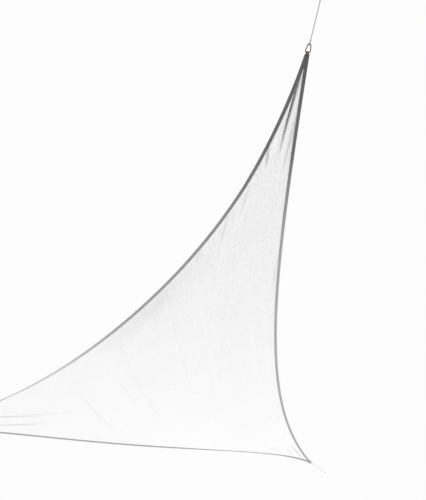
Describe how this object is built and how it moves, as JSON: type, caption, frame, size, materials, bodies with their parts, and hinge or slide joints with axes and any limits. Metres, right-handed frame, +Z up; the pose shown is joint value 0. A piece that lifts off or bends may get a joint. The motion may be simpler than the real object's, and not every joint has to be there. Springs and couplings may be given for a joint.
{
  "type": "shade sail",
  "caption": "Three-cornered white cloth shade sail with hollow-cut bound edges, a ring at each corner and tie cords, stretched on a slope.",
  "frame": {"origin": "where the top cord bears on the inside of the top ring's crown, which is the point the sail hangs from", "axes": "+X from the lower left corner towards the lower right corner, +Y horizontally from the top corner down the slope of the sail, +Z up"},
  "size_m": [3.677, 3.5317, 1.5506],
  "materials": {
    "cloth": "white knitted shade cloth, matt",
    "binding": "grey woven webbing, matt",
    "strap": "brown woven webbing, matt",
    "ring": "weathered steel wire",
    "cord_grey": "lavender-grey braided cord",
    "cord_cream": "cream-grey braided cord"
  },
  "bodies": {
    "root": {"sail_cloth": "cloth", "binding_left": "binding", "binding_right": "binding", "binding_foot": "binding", "strap_top": "strap", "strap_left": "strap", "strap_right": "strap", "ring_top": "ring", "ring_left": "ring", "ring_right": "ring", "hitch_top": "cord_grey", "cord_top": "cord_grey", "eye_top": "cord_grey", "hitch_right": "cord_cream", "cord_right": "cord_cream", "knot_right": "cord_cream"}
  },
  "joints": []
}
